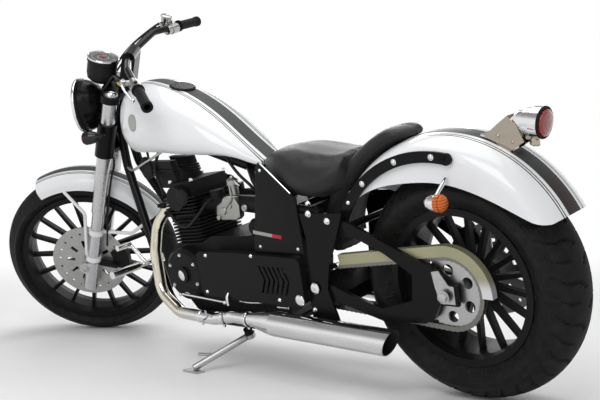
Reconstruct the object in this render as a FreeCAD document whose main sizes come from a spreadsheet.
import FreeCAD, Part
import math
import os

import PartDesign
import Sketcher

# Driving sizes in millimetres, angles in degrees. The bike frame has +X forward, +Y to the rider's
# left and +Z up, with the bike upright and the ground point under the rear axle as its zero.
SIZES = {
    # Stance
    "wheelbase": 1645.0,
    "rake_angle": 25.0,
    "trail": 97.0,
    "lean_angle": 11.0,
    "steer_lock": 37.0,
    "seat_gap": 0.3,
    "overrun": 20.0,
    # Rear wheel
    "rear_rim_seat": 203.2,
    "rear_tyre_height": 120.0,
    "rear_tyre_half_width": 100.0,
    "rear_tyre_crown": 112.0,
    "rear_rim_half_width": 74.0,
    "rear_hub_radius": 48.0,
    "rear_hub_half_width": 66.0,
    # Front wheel
    "front_rim_seat": 241.3,
    "front_tyre_height": 78.0,
    "front_tyre_half_width": 65.0,
    "front_tyre_crown": 66.0,
    "front_rim_half_width": 45.0,
    "front_hub_radius": 42.0,
    "front_hub_half_width": 48.0,
    # Rims and spokes
    "rim_flange": 13.0,
    "rim_flange_thick": 5.0,
    "rim_well_depth": 6.0,
    "rim_barrel": 7.0,
    "rim_seat_width": 24.0,
    "spoke_count": 18,
    "spoke_root_width": 17.0,
    "spoke_tip_width": 11.0,
    "spoke_depth": 20.0,
    "tyre_wall": 9.0,
    "axle_radius": 10.0,
    # Brakes
    "disc_thick": 5.0,
    "front_disc_radius": 138.0,
    "front_disc_offset": 60.0,
    "rear_disc_radius": 130.0,
    "rear_disc_offset": 112.0,
    "disc_carrier_radius": 92.0,
    "disc_slot_count": 10,
    "disc_slot_width": 12.0,
    "disc_slot_inner": 56.0,
    "disc_slot_outer": 84.0,
    "disc_hole_count": 20,
    "disc_hole_radius": 4.5,
    # Drive
    "chain_pitch": 15.875,
    "chain_line": 115.0,
    "chain_half_width": 8.0,
    "chain_plate": 2.6,
    "chain_plate_half_depth": 7.5,
    "chain_waist_half_depth": 5.5,
    "chain_pin_radius": 3.5,
    "sprocket_teeth": 38,
    "front_sprocket_teeth": 17,
    "sprocket_half_thick": 3.2,
    "sprocket_tooth_height": 5.0,
    "sprocket_window_count": 6,
    "front_sprocket_forward": 560.0,
    "front_sprocket_up": 305.0,
    # Frame tubes
    "downtube_radius": 15.0,
    "backbone_radius": 22.0,
    "seat_rail_radius": 12.0,
    "head_tube_radius": 32.0,
    "head_tube_low": 808.0,
    "head_tube_high": 980.0,
    "tube_bend": 90.0,
    "rail_half_spread": 127.0,
    "rail_up": 164.0,
    "gusset_inner": 140.0,
    "gusset_thick": 8.0,
    "gusset_forward": 305.0,
    "gusset_length": 205.0,
    "gusset_up": 158.0,
    "gusset_height": 380.0,
    "frame_forward": 430.0,
    "frame_length": 957.0,
    "frame_height": 596.0,
    "backbone_forward": 395.0,
    "backbone_length": 966.0,
    "backbone_up": 530.0,
    "backbone_height": 286.0,
    # Swingarm
    "pivot_forward": 439.0,
    "pivot_up": 312.0,
    "pivot_radius": 20.0,
    "arm_inner": 127.5,
    "arm_width": 12.2,
    "arm_rear": 62.0,
    "arm_length": 535.0,
    "arm_low": 262.0,
    "arm_height": 262.0,
    "guard_thick": 2.0,
    "guard_outer": 34.0,
    "guard_inner": 4.0,
    "guard_forward": 345.0,
    "guard_end_angle": 182.0,
    # Engine
    "crank_forward": 1006.0,
    "crank_up": 310.0,
    "cylinder_tilt": 5.0,
    "case_half_width": 100.0,
    "case_length": 520.0,
    "case_rear": 431.0,
    "case_height": 278.0,
    "case_depth": 168.0,
    "case_round": 16.0,
    "mount_radius": 14.0,
    "rear_mount_forward": 640.0,
    "front_mount_forward": 1000.0,
    "alternator_radius": 86.0,
    "alternator_proud": 48.0,
    "alternator_cap_radius": 26.0,
    "alternator_cap_proud": 8.0,
    "clutch_radius": 92.0,
    "clutch_back": 178.0,
    "clutch_proud": 46.0,
    "cover_forward": 472.0,
    "cover_length": 434.0,
    "cover_up": 252.0,
    "cover_height": 152.0,
    "cover_proud": 28.0,
    "cover_wall": 4.0,
    "cover_boss_radius": 9.0,
    "louvre_count": 6,
    "louvre_pitch": 19.0,
    "louvre_width": 8.0,
    "louvre_height": 84.0,
    "louvre_bow": 20.0,
    "airbox_forward": 478.0,
    "airbox_length": 180.0,
    "airbox_up": 445.0,
    "airbox_height": 85.0,
    "airbox_half_width": 112.0,
    "panel_boss_radius": 8.0,
    "panel_forward": 466.0,
    "panel_length": 198.0,
    "panel_up": 404.0,
    "panel_height": 212.0,
    "panel_thick": 3.5,
    "carb_forward": 905.0,
    "carb_up": 522.0,
    "carb_radius": 24.0,
    "carb_length": 96.0,
    "carb_bowl_radius": 20.0,
    "carb_bowl_depth": 46.0,
    "carb_dome_height": 44.0,
    "barrel_start": 92.0,
    "barrel_end": 178.0,
    "barrel_half_width": 82.0,
    "barrel_half_depth": 52.0,
    "fin_reach": 17.0,
    "fin_thick": 4.0,
    "fin_pitch": 11.0,
    "fin_corner": 14.0,
    "head_end": 250.0,
    "head_half_width": 92.0,
    "head_half_depth": 58.0,
    "rocker_height": 40.0,
    "port_spread": 45.0,
    "port_up": 205.0,
    "port_reach": 82.0,
    "end_cover_radius": 40.0,
    "end_cover_proud": 12.0,
    # Exhaust
    "header_radius": 19.0,
    "header_flange_radius": 30.0,
    "muffler_radius": 37.5,
    "muffler_length": 545.0,
    "muffler_spread": 190.0,
    "muffler_start_forward": 690.0,
    "muffler_start_up": 206.0,
    "muffler_droop": 1.4,
    "muffler_cone": 105.0,
    "muffler_wall": 2.5,
    "muffler_bore_depth": 130.0,
    "muffler_slash": 34.0,
    "header_length": 500.0,
    "header_low": 180.0,
    "header_height": 330.0,
    "header_flange_thick": 10.0,
    "header_bend": 85.0,
    # Tank and seat
    "cap_radius": 43.0,
    "cap_height": 13.0,
    "cap_forward": 1025.0,
    "cap_up": 898.0,
    "cap_tilt": 17.0,
    "tank_forward": 670.0,
    "tank_length": 605.0,
    "tank_half_width": 160.0,
    "tank_up": 648.0,
    "tank_height": 282.0,
    "cap_sunk": 7.0,
    "seat_forward": 330.0,
    "seat_length": 334.0,
    "seat_half_width": 142.0,
    "seat_up": 560.0,
    "seat_height": 140.0,
    "pad_half_width": 76.0,
    "pad_thick": 52.0,
    "pad_round": 16.0,
    "pad_end_angle": 74.0,
    # Fenders
    "fender_sheet": 3.0,
    "fender_forward": 30.0,
    "fender_up": 352.0,
    "fender_radius": 380.0,
    "fender_half_width": 116.0,
    "fender_crown": 52.0,
    "fender_depth": 122.0,
    "fender_start_angle": 33.0,
    "fender_end_angle": 154.0,
    "front_fender_radius": 347.0,
    "front_fender_half_width": 69.0,
    "front_fender_crown": 40.0,
    "front_fender_depth": 58.0,
    "front_fender_start_angle": 73.0,
    "front_fender_end_angle": 157.0,
    "strut_start_angle": 28.0,
    "strut_end_angle": 102.0,
    "strut_plate": 8.0,
    "strut_half_height": 15.0,
    "strut_radius": 333.0,
    "strut_boss_radius": 8.0,
    "stay_radius": 6.0,
    "rear_stay_radius": 8.0,
    # Fork
    "fork_offset": 28.0,
    "fork_spread": 96.0,
    "tube_radius": 25.0,
    "slider_radius": 21.0,
    "casting_radius": 25.0,
    "fork_low": 244.0,
    "casting_top": 355.0,
    "collar_up": 560.0,
    "lower_yoke_up": 784.0,
    "lower_yoke_top": 905.0,
    "yoke_plate": 16.0,
    "top_yoke_up": 985.0,
    "top_yoke_plate": 24.0,
    "clamp_wall": 8.0,
    "stem_radius": 15.0,
    "yoke_depth": 78.0,
    "yoke_half_width": 130.0,
    "stay_length": 250.0,
    # Bars and instruments
    "bar_radius": 11.1,
    "grip_radius": 16.5,
    "grip_length": 118.0,
    "bar_half_width": 435.0,
    "bar_wall": 2.3,
    "bar_bore_depth": 60.0,
    "perch_thread_radius": 5.0,
    "riser_gap": 5.0,
    "riser_half_width": 45.0,
    "riser_depth": 44.0,
    "lamp_radius": 90.0,
    "lamp_depth": 96.0,
    "gauge_radius": 53.0,
    "gauge_height": 84.0,
    "signal_radius": 23.0,
    "signal_length": 52.0,
    "tail_radius": 40.0,
    "tail_length": 86.0,
    "tail_forward": -165.0,
    "tail_up": 741.0,
    "tail_tilt": 8.0,
    "lens_depth": 14.0,
    "tail_bracket_half_width": 22.0,
    "tail_foot_thick": 6.0,
    "tail_foot_start_angle": 107.0,
    "tail_foot_end_angle": 122.0,
    "rear_signal_forward": -30.0,
    "rear_signal_up": 582.0,
    "rear_signal_spread": 190.0,
    "signal_stalk_radius": 6.0,
    "front_signal_ahead": 55.0,
    "front_signal_up": 880.0,
    "front_signal_spread": 172.0,
    "caliper_length": 88.0,
    "caliper_height": 46.0,
    "caliper_half_width": 15.0,
    "running_gap": 5.0,
    "rear_caliper_angle": 42.0,
    "front_caliper_angle": 160.0,
    "peg_radius": 13.0,
    "peg_length": 112.0,
    "control_radius": 8.0,
    "foot_control_forward": 1173.0,
    "foot_control_up": 335.0,
    "lever_length": 150.0,
    "lever_radius": 6.0,
    "switch_radius": 21.0,
    "switch_length": 46.0,
    "master_radius": 15.0,
    "master_length": 62.0,
    "lamp_ahead": 142.0,
    "lamp_up": 907.0,
    "lamp_tilt": 20.0,
    "gauge_ahead": 86.0,
    "bar_ahead": -8.0,
    "bar_up": 1128.0,
    "bar_sweep": 150.0,
    "bar_rise": 24.0,
    # Side stand
    "stand_forward": 754.0,
    "stand_spread": 138.0,
    "stand_up": 130.0,
    "stand_radius": 10.5,
    "stand_eye_radius": 17.0,
    "stand_eye_height": 14.0,
    "rail_boss_height": 18.0,
    "stand_pin_radius": 6.0,
    "stand_pin_play": 0.08,
    "foot_forward": 838.0,
    "foot_spread": 321.0,
    "foot_length": 62.0,
    "foot_width": 34.0,
    "foot_thick": 7.0,
}


class Size(float):
    """A number that remembers the sheet expression it comes from."""

    def __new__(cls, number, text):
        made = super().__new__(cls, number)
        made.text = text
        return made

    def __add__(self, other):
        return Size(float(self) + float(other), f"({self.text} + {words(other)})")

    def __radd__(self, other):
        return Size(float(other) + float(self), f"({words(other)} + {self.text})")

    def __sub__(self, other):
        return Size(float(self) - float(other), f"({self.text} - {words(other)})")

    def __rsub__(self, other):
        return Size(float(other) - float(self), f"({words(other)} - {self.text})")

    def __mul__(self, other):
        return Size(float(self) * float(other), f"({self.text} * {words(other)})")

    def __rmul__(self, other):
        return Size(float(other) * float(self), f"({words(other)} * {self.text})")

    def __truediv__(self, other):
        return Size(float(self) / float(other), f"({self.text} / {words(other)})")

    def __neg__(self):
        return Size(-float(self), f"(0 - {self.text})")


def words(number):
    return getattr(number, "text", None) or repr(float(number))


class Sizes:
    """The sheet's cells as named numbers."""

    def __init__(self, doc):
        sheet = doc.addObject("Spreadsheet::Sheet", "sizes")
        for row, (alias, number) in enumerate(SIZES.items(), 1):
            sheet.set(f"A{row}", alias)
            sheet.set(f"B{row}", str(number))
            sheet.setAlias(f"B{row}", alias)
        doc.recompute()
        for alias in SIZES:
            setattr(self, alias, Size(float(sheet.get(alias)), f"sizes.{alias}"))


doc = FreeCAD.newDocument("motorcycle")
size = Sizes(doc)
zero = FreeCAD.Vector(0, 0, 0)
forward = FreeCAD.Vector(1, 0, 0)
left = FreeCAD.Vector(0, 1, 0)
upward = FreeCAD.Vector(0, 0, 1)


def point(x, y, z):
    return FreeCAD.Vector(float(x), float(y), float(z))


def bind(made, prop, number):
    setattr(made, prop, float(number))
    made.setExpression(prop, words(number))


# Sketch and feature helpers

def origin(body, role):
    return next(item for item in body.Origin.OriginFeatures if item.Role == role)


def new_sketch(body, name, plane, raised=0):
    sketch = body.newObject("Sketcher::SketchObject", name)
    sketch.AttachmentSupport = (origin(body, plane), "")
    sketch.MapMode = "FlatFace"
    if raised:
        sketch.setExpression("AttachmentOffset.Base.z", words(raised))
    return sketch


def pin(sketch, item, end, across, up):
    for kind, number, axis in (("DistanceX", across, -2), ("DistanceY", up, -1)):
        if float(number) == 0:
            sketch.addConstraint(Sketcher.Constraint("PointOnObject", item, end, axis))
        else:
            spot = sketch.addConstraint(Sketcher.Constraint(kind, -1, 1, item, end, float(number)))
            sketch.setExpression(f"Constraints[{spot}]", words(number))


def outline(sketch, corners):
    first = sketch.GeometryCount
    count = len(corners)
    places = [point(across, up, 0) for across, up in corners]
    for index in range(count):
        sketch.addGeometry(Part.LineSegment(places[index], places[(index + 1) % count]))
    for index in range(count):
        after = first + (index + 1) % count
        sketch.addConstraint(Sketcher.Constraint("Coincident", first + index, 2, after, 1))
        pin(sketch, first + index, 1, *corners[index])
    return sketch


def ring(sketch, across, up, radius):
    item = sketch.addGeometry(Part.Circle(point(across, up, 0), upward, float(radius)))
    spot = sketch.addConstraint(Sketcher.Constraint("Radius", item, float(radius)))
    sketch.setExpression(f"Constraints[{spot}]", words(radius))
    pin(sketch, item, 3, across, up)
    return sketch


def pad(body, sketch, length, symmetric=False, reverse=False):
    made = body.newObject("PartDesign::Pad", sketch.Name + "_pad")
    made.Profile = sketch
    made.SideType = "Symmetric" if symmetric else "One side"
    made.Reversed = reverse
    bind(made, "Length", length)
    return made


def pocket(body, sketch, length, symmetric=True, reverse=False):
    made = body.newObject("PartDesign::Pocket", sketch.Name + "_cut")
    made.Profile = sketch
    made.SideType = "Symmetric" if symmetric else "One side"
    made.Reversed = reverse
    bind(made, "Length", length)
    return made


def revolve(body, sketch, axis="H_Axis"):
    made = body.newObject("PartDesign::Revolution", sketch.Name + "_turn")
    made.Profile = sketch
    made.ReferenceAxis = (sketch, [axis])
    made.Angle = 360.0
    return made


def around(body, feature, count, axis):
    made = body.newObject("PartDesign::PolarPattern", feature.Name + "_round")
    made.Originals = [feature]
    made.Axis = (origin(body, axis), [""])
    made.Angle = 360.0
    made.setExpression("Occurrences", words(count))
    body.Tip = made
    return made


def along(body, feature, length, count, axis):
    made = body.newObject("PartDesign::LinearPattern", feature.Name + "_row")
    made.Originals = [feature]
    made.Direction = (origin(body, axis), [""])
    bind(made, "Length", length)
    made.Occurrences = int(count)
    body.Tip = made
    return made


def round_edges(body, feature, radius, wanted):
    doc.recompute()
    names = []
    for index, edge in enumerate(feature.Shape.Edges, 1):
        if wanted(edge):
            names.append(f"Edge{index}")
    made = body.newObject("PartDesign::Fillet", feature.Name + "_round_edges")
    made.Base = (feature, names)
    bind(made, "Radius", radius)
    return made


def parallel_to(axis):
    def wanted(edge):
        if edge.Curve.TypeId != "Part::GeomLine":
            return False
        return abs(edge.tangentAt(edge.FirstParameter).dot(axis)) > 0.999
    return wanted


def new_body(name):
    return doc.addObject("PartDesign::Body", name)


# Primitive and shape helpers

def rod(name, start, end, radius):
    made = doc.addObject("Part::Cylinder", name)
    run = end - start
    bind(made, "Radius", radius)
    made.Height = run.Length
    made.Placement = FreeCAD.Placement(start, FreeCAD.Rotation(upward, run))
    return made


def cone(name, start, end, first, last):
    made = doc.addObject("Part::Cone", name)
    run = end - start
    bind(made, "Radius1", first)
    bind(made, "Radius2", last)
    made.Height = run.Length
    made.Placement = FreeCAD.Placement(start, FreeCAD.Rotation(upward, run))
    return made


def block(name, low, high):
    made = doc.addObject("Part::Box", name)
    made.Length = high.x - low.x
    made.Width = high.y - low.y
    made.Height = high.z - low.z
    made.Placement = FreeCAD.Placement(low, FreeCAD.Rotation())
    return made


def fuse(name, pieces):
    made = doc.addObject("Part::MultiFuse", name)
    made.Shapes = pieces
    made.Refine = True
    return made


def cut(name, base, tool):
    made = doc.addObject("Part::Cut", name)
    made.Base = base
    made.Tool = tool
    return made


def shaped(name, shape):
    made = doc.addObject("Part::Feature", name)
    made.Shape = shape
    return made


def bent_path(corners, bend):
    """Straight runs joined by tangent arcs, each as large as its runs allow."""
    edges = []
    start = corners[0]
    for before, corner, after in zip(corners, corners[1:], corners[2:]):
        back = before - corner
        ahead = after - corner
        shorter = min(back.Length, ahead.Length)
        back.normalize()
        ahead.normalize()
        half_turn = (math.pi - back.getAngle(ahead)) / 2
        reach = min(float(bend) * math.tan(half_turn), 0.45 * shorter)
        radius = reach / math.tan(half_turn)
        inward = back + ahead
        inward.normalize()
        enter = corner + back * reach
        leave = corner + ahead * reach
        middle = corner + inward * (radius / math.cos(half_turn) - radius)
        edges.append(Part.LineSegment(start, enter).toShape())
        edges.append(Part.Arc(enter, middle, leave).toShape())
        start = leave
    edges.append(Part.LineSegment(start, corners[-1]).toShape())
    return Part.Wire(edges)


def bent_tube(corners, radius, bend):
    path = bent_path(corners, bend)
    run = corners[1] - corners[0]
    circle = Part.Wire([Part.makeCircle(float(radius), corners[0], run)])
    return path.makePipeShell([circle], True, True)


def loft(sections):
    return Part.makeLoft(sections, True, False)


def sided(corners, side):
    return [point(x, side * y, z) for x, y, z in corners]


def plate(corners, low, high):
    """Flat plate from an outline of (x, z) places, between two places across the bike."""
    places = [point(x, low, z) for x, z in corners]
    face = Part.Face(Part.makePolygon(places + [places[0]]))
    return face.extrude(point(0, high - low, 0))


def around_y(radius, angle):
    return point(radius * math.cos(angle), 0, radius * math.sin(angle))


def sector(centre, low, high, first, last, start, end):
    """Part of a flat ring about a Y axis, between two angles in degrees and two places across."""
    first = math.radians(first)
    last = math.radians(last)
    middle = 0.5 * (first + last)
    base = centre + point(0, start, 0)

    def spot(radius, angle):
        return base + around_y(float(radius), angle)

    edges = [
        Part.Arc(spot(low, first), spot(low, middle), spot(low, last)).toShape(),
        Part.LineSegment(spot(low, last), spot(high, last)).toShape(),
        Part.Arc(spot(high, last), spot(high, middle), spot(high, first)).toShape(),
        Part.LineSegment(spot(high, first), spot(low, first)).toShape()]
    return Part.Face(Part.Wire(edges)).extrude(point(0, end - start, 0))


# Places worked out from the sizes

rear_radius = size.rear_rim_seat + size.rear_tyre_height
front_radius = size.front_rim_seat + size.front_tyre_height
rear_axle = point(0, 0, rear_radius)
front_axle = point(size.wheelbase, 0, front_radius)
rake = math.radians(size.rake_angle)
fork_place = FreeCAD.Placement(
    point(size.wheelbase + size.trail, 0, 0), FreeCAD.Rotation(left, -float(size.rake_angle)))
fork_axle = fork_place.inverse().multVec(front_axle)
steer_turn = FreeCAD.Placement(zero, FreeCAD.Rotation(upward, float(size.steer_lock)))


def fork_point(ahead, across, up):
    """A place in the bike frame from one in the fork frame, along and ahead of the steering axis."""
    return fork_place.multVec(point(ahead, across, up))


def wheel_drop(place, axle, radius, crown):
    """Height that a leaning wheel's axle stands above its floor contact, and its present height."""
    centre = place.multVec(axle)
    turned = place.Rotation.multVec(left)
    level = math.sqrt(1 - turned.z * turned.z)
    return centre.z - ((radius - crown) * level + crown)


def stand_pose():
    """Lean onto the side stand, with both tyres on the floor."""
    steered = fork_place.multiply(steer_turn).multiply(fork_place.inverse())
    lean = FreeCAD.Rotation(forward, -float(size.lean_angle))

    def errors(pitch):
        turn = FreeCAD.Rotation(left, pitch).multiply(lean)
        place = FreeCAD.Placement(zero, turn)
        rear = wheel_drop(place, rear_axle, rear_radius, size.rear_tyre_crown)
        front = wheel_drop(place.multiply(steered), front_axle, front_radius, size.front_tyre_crown)
        return rear, front, turn

    low = 0.0
    high = 1.0
    for _ in range(12):
        miss_low = errors(low)[0] - errors(low)[1]
        miss_high = errors(high)[0] - errors(high)[1]
        if abs(miss_high - miss_low) < 1e-12:
            break
        low, high = high, high - miss_high * (high - low) / (miss_high - miss_low)
    rear, front, turn = errors(high)
    return FreeCAD.Placement(point(0, 0, -rear), turn), steered


lean_pose, steered = stand_pose()


def framed(shares, start, low, length, height):
    """An outline given as shares of the length and height of the piece."""
    return [(start + length * across, low + height * up) for across, up in shares]


def placed(shares, start, spread, low, length, height):
    """A route given as shares of the length, the half spread and the height of the piece."""
    return [(start + length * x, spread * y, low + height * z) for x, y, z in shares]


# Wheels

def wheel_rim(name, seat, half_width, hub_radius, hub_half_width):
    """Cast rim, hub and straight spokes, turning about its own Y axis."""
    body = new_body(name)
    hub = new_sketch(body, name + "_hub", "YZ_Plane")
    bore = size.axle_radius + 0.2 * size.seat_gap
    outline(hub, [
        (-hub_half_width, bore), (hub_half_width, bore), (hub_half_width, 0.8 * hub_radius),
        (0.5 * hub_half_width, hub_radius), (-0.5 * hub_half_width, hub_radius),
        (-hub_half_width, 0.8 * hub_radius)])
    revolve(body, hub)
    spoke = new_sketch(body, name + "_spoke", "XZ_Plane")
    root = 0.5 * size.spoke_root_width
    tip = 0.5 * size.spoke_tip_width
    top = seat - size.rim_well_depth - 0.5 * size.rim_barrel
    outline(spoke, [(-root, 0.8 * hub_radius), (root, 0.8 * hub_radius), (tip, top), (-tip, top)])
    blade = pad(body, spoke, size.spoke_depth, symmetric=True)
    around(body, blade, size.spoke_count, "Y_Axis")
    rim = new_sketch(body, name + "_rim", "YZ_Plane")
    inner = seat - size.rim_well_depth - size.rim_barrel
    flange = half_width + size.rim_flange_thick
    well = half_width - size.rim_seat_width
    outline(rim, [
        (-flange, inner + size.rim_well_depth), (-well, inner), (well, inner),
        (flange, inner + size.rim_well_depth), (flange, seat + size.rim_flange),
        (half_width, seat + size.rim_flange), (half_width, seat),
        (well, seat), (well - size.rim_well_depth, seat - size.rim_well_depth),
        (-well + size.rim_well_depth, seat - size.rim_well_depth), (-well, seat),
        (-half_width, seat), (-half_width, seat + size.rim_flange), (-flange, seat + size.rim_flange)])
    revolve(body, rim)
    return body


def tyre(name, seat, height, half_width, crown, bead_half_width):
    """Hollow tyre section turned about the wheel's Y axis."""
    gap = float(size.seat_gap)
    bead = float(bead_half_width) - gap
    low = float(seat) + gap
    outer = seat + height
    wall = float(size.tyre_wall)
    edge_angle = math.asin(0.9 * half_width / crown)
    centre = outer - crown
    shoulder = (crown * math.sin(edge_angle), centre + crown * math.cos(edge_angle))
    inner_edge = (shoulder[0] - wall, shoulder[1] - wall)
    lip = (bead, float(seat + 1.1 * size.rim_flange) + gap)
    belly = (float(half_width), 0.4 * lip[1] + 0.6 * shoulder[1])
    foot = (bead - wall, low)
    inner_side = (0.5 * (foot[0] + inner_edge[0] + 0.1 * wall), 0.5 * (foot[1] + inner_edge[1]))

    def arc(first, middle, last):
        places = [point(0, across, up) for across, up in (first, middle, last)]
        return Part.Arc(*places).toShape()

    def line(first, last):
        return Part.LineSegment(point(0, *first), point(0, *last)).toShape()

    def flip(place):
        return (-place[0], place[1])

    edges = [
        arc(flip(shoulder), (0, outer), shoulder),
        arc(shoulder, belly, lip),
        line(lip, (bead, low)),
        line((bead, low), foot),
        arc(foot, inner_side, inner_edge),
        arc(inner_edge, (0, outer - wall), flip(inner_edge)),
        arc(flip(inner_edge), flip(inner_side), flip(foot)),
        line(flip(foot), (-bead, low)),
        line((-bead, low), flip(lip)),
        arc(flip(lip), flip(belly), flip(shoulder))]
    face = Part.Face(Part.Wire(edges))
    return shaped(name, face.revolve(zero, left, 360))


def brake_disc(name, radius, offset, hub_half_width, side):
    """Drilled disc on a slotted carrier whose boss seats on the hub."""
    body = new_body(name)
    boss = new_sketch(body, name + "_boss", "YZ_Plane")
    half = 0.5 * size.disc_thick
    bore = size.axle_radius + size.disc_slot_width
    outline(boss, [
        (side * hub_half_width, bore), (side * (offset + half), bore),
        (side * (offset + half), size.disc_slot_inner), (side * (offset - half), size.disc_slot_inner),
        (side * (offset - half), bore + 0.5 * size.disc_slot_width),
        (side * hub_half_width, bore + 0.5 * size.disc_slot_width)])
    revolve(body, boss)
    plane = new_sketch(body, name + "_plane", "YZ_Plane")
    outline(plane, [
        (side * (offset - half), size.disc_slot_inner - size.disc_thick), (side * (offset + half),
        size.disc_slot_inner - size.disc_thick), (side * (offset + half), radius),
        (side * (offset - half), radius)])
    revolve(body, plane)
    slot = new_sketch(body, name + "_slot", "XZ_Plane")
    wide = 0.5 * size.disc_slot_width
    outline(slot, [
        (-wide, size.disc_slot_inner), (wide, size.disc_slot_inner),
        (wide, size.disc_slot_outer), (-wide, size.disc_slot_outer)])
    opening = pocket(body, slot, 3 * size.rear_disc_offset)
    around(body, opening, size.disc_slot_count, "Y_Axis")
    hole = new_sketch(body, name + "_hole", "XZ_Plane")
    ring(hole, 0, 0.5 * (size.disc_slot_outer + radius), size.disc_hole_radius)
    drilled = pocket(body, hole, 3 * size.rear_disc_offset)
    around(body, drilled, size.disc_hole_count, "Y_Axis")
    return body


def pitch_radius(teeth):
    return float(size.chain_pitch) / (2 * math.sin(math.pi / teeth))


def rear_sprocket():
    """Toothed wheel with windows, on a boss that seats on the hub."""
    body = new_body("rear_sprocket")
    root = pitch_radius(size.sprocket_teeth) - size.chain_pin_radius
    tip = root + size.sprocket_tooth_height
    disc = new_sketch(body, "sprocket_disc", "XZ_Plane", -size.chain_line)
    ring(disc, 0, 0, root)
    ring(disc, 0, 0, size.axle_radius + size.disc_slot_width)
    pad(body, disc, 2 * size.sprocket_half_thick, symmetric=True)
    tooth = new_sketch(body, "sprocket_tooth", "XZ_Plane", -size.chain_line)
    wide = 0.3 * size.chain_pitch
    outline(tooth, [
        (-wide, root - size.sprocket_tooth_height), (wide, root - size.sprocket_tooth_height),
        (0.3 * wide, tip), (-0.3 * wide, tip)])
    one = pad(body, tooth, 2 * size.sprocket_half_thick, symmetric=True)
    around(body, one, size.sprocket_teeth, "Y_Axis")
    window = new_sketch(body, "sprocket_window", "XZ_Plane", -size.chain_line)
    ring(window, 0, 0.68 * root, 0.17 * root)
    hole = pocket(body, window, 4 * size.sprocket_half_thick)
    around(body, hole, size.sprocket_window_count, "Y_Axis")
    boss = new_sketch(body, "sprocket_boss", "YZ_Plane")
    bore = size.axle_radius + size.disc_slot_width
    outline(boss, [
        (size.rear_hub_half_width, bore), (size.chain_line, bore),
        (size.chain_line, bore + 2 * size.disc_slot_width),
        (size.rear_hub_half_width, bore + size.disc_slot_width)])
    revolve(body, boss)
    return body


# Chain

def chain_walk():
    """Pin places and directions round both sprockets, one pitch apart as near as fits."""
    rear = point(0, 0, rear_radius)
    front = point(size.front_sprocket_forward, 0, size.front_sprocket_up)
    big = pitch_radius(size.sprocket_teeth)
    small = pitch_radius(size.front_sprocket_teeth)
    span = front - rear
    reach = span.Length
    slope = math.atan2(span.z, span.x)
    lean = math.acos((big - small) / reach)
    run = math.sqrt(reach * reach - (big - small) ** 2)
    wrap_rear = 2 * math.pi - 2 * lean
    wrap_front = 2 * lean
    length = 2 * run + big * wrap_rear + small * wrap_front
    links = 2 * round(length / float(size.chain_pitch) / 2)
    places = []
    for index in range(2 * links):
        walked = length * index / (2 * links)
        if walked < run:
            angle = slope + lean
            ahead = walked
            base, radius = front, small
            direction = angle + math.pi / 2
            place = base + around_y(radius, angle) + around_y(ahead, direction)
        elif walked < run + big * wrap_rear:
            angle = slope + lean + (walked - run) / big
            place = rear + around_y(big, angle)
        elif walked < 2 * run + big * wrap_rear:
            angle = slope - lean
            ahead = walked - run - big * wrap_rear
            place = rear + around_y(big, angle) + around_y(ahead, angle + math.pi / 2)
        else:
            angle = slope - lean + (walked - 2 * run - big * wrap_rear) / small
            place = front + around_y(small, angle)
        margin = float(size.chain_pitch)
        places.append((place, angle, run - margin <= walked < run + big * wrap_rear + margin))
    return places


def drive_chain():
    """Two rows of waisted link plates on pins, as one fixed loop."""
    places = chain_walk()
    full = float(size.chain_plate_half_depth)
    waist = float(size.chain_waist_half_depth)
    outer = []
    inner = []
    for index, (place, angle, _) in enumerate(places):
        half = full if index % 2 == 0 else waist
        outer.append(place + around_y(half, angle))
        inner.append(place - around_y(half, angle))
    rows = []
    width = float(size.chain_half_width)
    for start in (-width, width - float(size.chain_plate)):
        shift = point(0, size.chain_line + start, 0)
        loops = []
        for row in (outer, inner):
            loop = [place + shift for place in row]
            face = Part.Face(Part.makePolygon(loop + [loop[0]]))
            loops.append(face.extrude(point(0, size.chain_plate, 0)))
        rows.append(loops[0].cut(loops[1]))
    pins = []
    radius = float(size.chain_pin_radius)
    for place, _, on_rear in places[::2]:
        if on_rear:
            continue
        corners = [place + around_y(radius, math.pi * side / 3) for side in range(6)]
        low = point(0, size.chain_line - width + size.chain_plate / 2, 0)
        ring_face = Part.Face(Part.makePolygon([c + low for c in corners + [corners[0]]]))
        pins.append(ring_face.extrude(point(0, 2 * width - size.chain_plate, 0)))
    return shaped("drive_chain", rows[0].multiFuse(rows[1:] + pins))


def chain_guard():
    """Cheek and top flange over the chain's upper run and down behind the sprocket."""
    rear = point(0, 0, rear_radius)
    front = point(size.front_sprocket_forward, 0, size.front_sprocket_up)
    span = front - rear
    big = pitch_radius(size.sprocket_teeth)
    top = math.degrees(math.atan2(span.z, span.x) + math.acos(
        (big - pitch_radius(size.front_sprocket_teeth)) / span.Length))
    outer = big + size.guard_outer
    inner = big + size.guard_inner
    rim = outer - size.guard_thick
    start = size.arm_inner - size.seat_gap - size.guard_thick
    far = start - 2 * size.chain_half_width - 2 * size.guard_thick
    lift = around_y(1.0, math.radians(top))
    ahead = around_y(float(size.guard_forward), math.radians(top) - math.pi / 2)
    pieces = []
    for low, near, end in ((inner, start, start + size.guard_thick), (rim, far, start + size.guard_thick)):
        pieces.append(sector(rear, low, outer, top, float(size.guard_end_angle), near, end))
        base = rear + lift * float(low) + point(0, near, 0)
        rise = lift * float(outer - low)
        corners = [base, base + rise, base + rise + ahead, base + ahead, base]
        pieces.append(Part.Face(Part.makePolygon(corners)).extrude(point(0, end - near, 0)))
    return shaped("chain_guard", pieces[0].multiFuse(pieces[1:]).removeSplitter())


# Frame

def rail_cross_place():
    return placed(seat_rail_shares, size.backbone_forward, 0, size.backbone_up,
                  size.backbone_length, size.backbone_height)[-2]


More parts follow.
